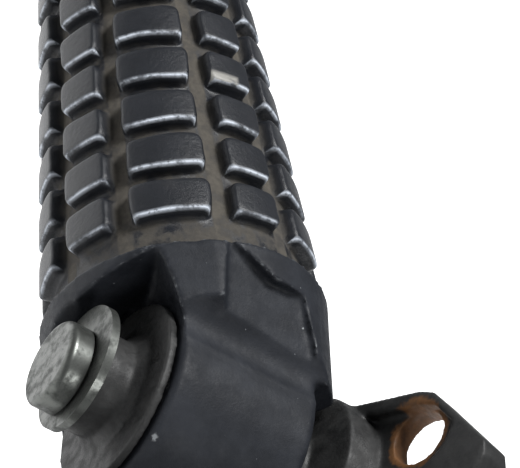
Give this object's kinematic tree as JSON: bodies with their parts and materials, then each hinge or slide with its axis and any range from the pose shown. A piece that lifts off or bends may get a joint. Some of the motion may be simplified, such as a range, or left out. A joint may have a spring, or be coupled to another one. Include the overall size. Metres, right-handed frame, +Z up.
{
  "type": "motorcycle foot peg",
  "caption": "Folding motorcycle foot peg: tapered rubber sleeve with a waffle tread on a hinged arm, sprung down onto the stops of a flanged clevis bracket.",
  "frame": {"origin": "midway between the two bolt holes, on the bracket's seating face", "axes": "+X forward, out of the seating face; +Y outboard, roughly along the peg; +Z up, along the line of the two bolt holes"},
  "size_m": [0.0508, 0.1382, 0.0634],
  "materials": {
    "black_paint": "worn satin black paint on cast metal",
    "bracket_metal": "weathered grey paint on cast metal",
    "plated_steel": "dull zinc plating, scuffed",
    "spring_steel": "oiled spring steel",
    "bronze": "sintered bronze, oily",
    "rubber": "moulded rubber, dusty in its grooves"
  },
  "bodies": {
    "bracket": {"bracket": "bracket_metal", "pivot_pin": "plated_steel", "head_washer": "plated_steel", "tail_washer": "plated_steel", "split_pin": "plated_steel", "return_spring": "spring_steel", "thrust_washer_left": "spring_steel", "thrust_washer_right": "spring_steel"},
    "peg": {"peg_arm": "black_paint", "bush_left": "bronze", "bush_right": "bronze", "rubber_sleeve": "rubber", "end_plate": "black_paint", "lock_washer": "plated_steel", "end_bolt": "plated_steel"}
  },
  "joints": [
    {"name": "peg_fold", "type": "hinge", "parent": "bracket", "child": "peg", "pos_m": [-0.01959, 0.00277, -0.0044], "axis": [0.9603, -0.0624, 0.2718], "range_deg": [0, 80], "stiffness_Nm_per_rad": 0.3, "springref_deg": -34.38, "deforming": ["return_spring"]}
  ]
}
